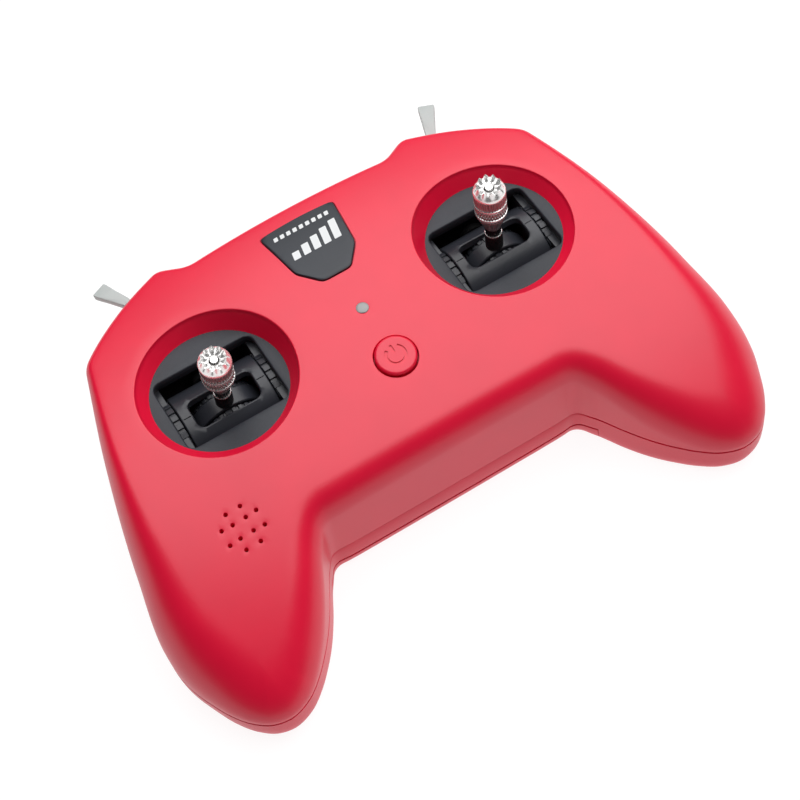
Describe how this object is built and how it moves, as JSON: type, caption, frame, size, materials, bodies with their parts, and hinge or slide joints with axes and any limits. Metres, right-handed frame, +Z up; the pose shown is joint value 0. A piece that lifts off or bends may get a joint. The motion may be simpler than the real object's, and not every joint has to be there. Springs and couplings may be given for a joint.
{
  "type": "radio transmitter controller",
  "caption": "Hand-held two-stick radio transmitter with moulded grips, round gimbal bowls, shoulder toggle switches, a power button and a speaker grille.",
  "frame": {"origin": "flat underside of the case, on the symmetry plane, below the line through the two stick axes", "axes": "+X to the user's right, +Y away from the user towards the shoulder switches, +Z up out of the stick face"},
  "size_m": [0.1682, 0.1276, 0.0564],
  "materials": {
    "red_case": "fine-grained satin moulded ABS",
    "dark_trim": "fine matte dark grey",
    "black_gimbal": "semi-matte black nylon",
    "badge": "slate grey with a pale edge",
    "polished_metal": "polished, knurled",
    "black_metal": "black anodised",
    "toggle_metal": "satin nickel",
    "lens_grey": "diffusing grey plastic",
    "pcb": "solder mask",
    "steel": "zinc plated",
    "cell_wrap": "shrink wrap",
    "electronics": "black component plastic",
    "switch_housing": "switch housing"
  },
  "bodies": {
    "root": {"top_shell": "red_case", "bottom_shell": "red_case", "case_screws": "steel", "badge_plate": "badge", "led_light_pipe": "lens_grey", "status_led": "lens_grey", "speaker": "electronics", "main_pcb": "pcb", "pcb_screws": "steel", "rf_module": "steel", "antenna": "pcb", "usb_socket": "steel", "power_tact_switch": "electronics", "battery_bay": "black_gimbal", "battery_cell": "cell_wrap", "battery_contacts": "steel", "left_gimbal_plate": "dark_trim", "left_gimbal_frame": "black_gimbal", "left_gimbal_screws": "steel", "left_pitch_sensor": "electronics", "left_centring_springs": "steel", "left_switch_body": "switch_housing", "left_switch_nut": "toggle_metal", "right_gimbal_plate": "dark_trim", "right_gimbal_frame": "black_gimbal", "right_gimbal_screws": "steel", "right_pitch_sensor": "electronics", "right_centring_springs": "steel", "right_switch_body": "switch_housing", "right_switch_nut": "toggle_metal"},
    "battery_door": {"battery_door": "red_case"},
    "power_button": {"power_button": "red_case"},
    "left_gimbal_drum": {"left_drum": "black_gimbal", "left_roll_sensor": "electronics"},
    "left_stick": {"left_inner_drum": "black_gimbal", "left_stick_shaft": "black_metal", "left_stick_sleeve": "polished_metal", "left_stick_ring": "polished_metal", "left_stick_end": "polished_metal", "left_stick_set_screw": "steel"},
    "left_toggle": {"left_toggle_lever": "toggle_metal"},
    "right_gimbal_drum": {"right_drum": "black_gimbal", "right_roll_sensor": "electronics"},
    "right_stick": {"right_inner_drum": "black_gimbal", "right_stick_shaft": "black_metal", "right_stick_sleeve": "polished_metal", "right_stick_ring": "polished_metal", "right_stick_end": "polished_metal", "right_stick_set_screw": "steel"},
    "right_toggle": {"right_toggle_lever": "toggle_metal"}
  },
  "joints": [
    {"name": "battery_door_slide", "type": "slide", "parent": "root", "child": "battery_door", "axis": [0, -1, 0], "range_m": [0, 0.022]},
    {"name": "power_button_press", "type": "slide", "parent": "root", "child": "power_button", "axis": [0, 0.1655, -0.9862], "range_m": [0, 0.0006], "stiffness_N_per_m": 900, "springref_m": -0.0006},
    {"name": "left_stick_pitch", "type": "hinge", "parent": "root", "child": "left_gimbal_drum", "pos_m": [-0.04, 0, 0.0217], "axis": [1, 0, 0], "range_deg": [-34, 16]},
    {"name": "left_stick_roll", "type": "hinge", "parent": "left_gimbal_drum", "child": "left_stick", "pos_m": [-0.04, 0, 0.0217], "axis": [0, 0.9877, 0.1564], "range_deg": [-25, 25], "stiffness_Nm_per_rad": 0.03},
    {"name": "right_stick_pitch", "type": "hinge", "parent": "root", "child": "right_gimbal_drum", "pos_m": [0.04, 0, 0.0217], "axis": [1, 0, 0], "range_deg": [-25, 25], "stiffness_Nm_per_rad": 0.03},
    {"name": "right_stick_roll", "type": "hinge", "parent": "right_gimbal_drum", "child": "right_stick", "pos_m": [0.04, 0, 0.0217], "axis": [0, 1, 0], "range_deg": [-25, 25], "stiffness_Nm_per_rad": 0.03},
    {"name": "left_toggle_flip", "type": "hinge", "parent": "root", "child": "left_toggle", "pos_m": [-0.04462, 0.03827, 0.027], "axis": [0.9135, 0.4067, 0], "range_deg": [0, 24]},
    {"name": "right_toggle_flip", "type": "hinge", "parent": "root", "child": "right_toggle", "pos_m": [0.04462, 0.03827, 0.027], "axis": [0.9135, -0.4067, 0], "range_deg": [-12, 12]}
  ]
}
